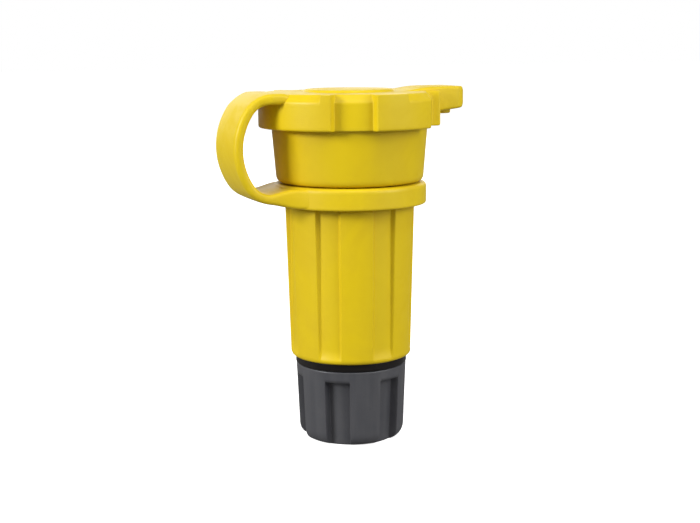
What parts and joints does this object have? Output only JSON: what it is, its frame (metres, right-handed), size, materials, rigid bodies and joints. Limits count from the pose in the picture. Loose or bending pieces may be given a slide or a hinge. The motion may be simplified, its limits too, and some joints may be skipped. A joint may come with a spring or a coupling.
{
  "type": "watertight cord connector",
  "caption": "Watertight female cord connector: fluted rubber grip, wider head, cord nut, and a lobed closure cap on a strap that loops to a ring round the neck.",
  "frame": {"origin": "centre of the cord hole at the base of the cord nut, which is the face it stands on", "axes": "+Z along the axis from the nut to the closure cap; the strap is on the -X side and the pull tab on the +X side"},
  "size_m": [0.0843, 0.062, 0.1213],
  "materials": {
    "closure_cap": "satin",
    "cap_strap": "satin",
    "strap_ring": "satin",
    "jacket": "satin",
    "core_housing": "satin",
    "mouth_seal": "matte",
    "face_plate": "satin",
    "face_screws": "brushed",
    "contact_carrier": "matte",
    "rear_retainer": "matte",
    "retainer_screws": "brushed",
    "line_contact": "satin",
    "neutral_contact": "satin",
    "earth_contact": "satin",
    "contact_springs": "brushed",
    "clamp_plates": "satin",
    "terminal_screws": "brushed",
    "cord_grommet": "matte",
    "cord_collet": "matte",
    "slip_ring": "brushed",
    "nut_seal": "matte",
    "cord_nut": "satin"
  },
  "bodies": {
    "root": {"jacket": "jacket", "core_housing": "core_housing", "mouth_seal": "mouth_seal", "face_plate": "face_plate", "face_screws": "face_screws", "contact_carrier": "contact_carrier", "rear_retainer": "rear_retainer", "retainer_screws": "retainer_screws", "line_contact": "line_contact", "neutral_contact": "neutral_contact", "earth_contact": "earth_contact", "contact_springs": "contact_springs", "clamp_plates": "clamp_plates", "terminal_screws": "terminal_screws", "cord_grommet": "cord_grommet", "cord_collet": "cord_collet", "nut_seal": "nut_seal"},
    "closure_ring": {"strap_ring": "strap_ring", "cap_strap": "cap_strap"},
    "closure": {"closure_cap": "closure_cap"},
    "slip": {"slip_ring": "slip_ring"},
    "nut": {"cord_nut": "cord_nut"}
  },
  "joints": [
    {"name": "ring_swivel", "type": "hinge", "parent": "root", "child": "closure_ring", "pos_m": [0, 0, 0.0858], "axis": [0, 0, 1], "continuous": true},
    {"name": "cap_open", "type": "hinge", "parent": "closure_ring", "child": "closure", "pos_m": [-0.0443, 0, 0.1082], "axis": [0, -1, 0], "range_deg": [0, 165], "deforming": ["cap_strap"]},
    {"name": "nut_travel", "type": "slide", "parent": "root", "child": "slip", "axis": [0, 0, -1], "range_m": [0, 0.01055]},
    {"name": "nut_turn", "type": "hinge", "parent": "slip", "child": "nut", "pos_m": [0, 0, 0], "axis": [0, 0, -1], "range_deg": [0, 1260]}
  ],
  "couplings": [
    {"joint": "nut_travel", "follows": "nut_turn", "m_per_rad": 0.00047746}
  ]
}
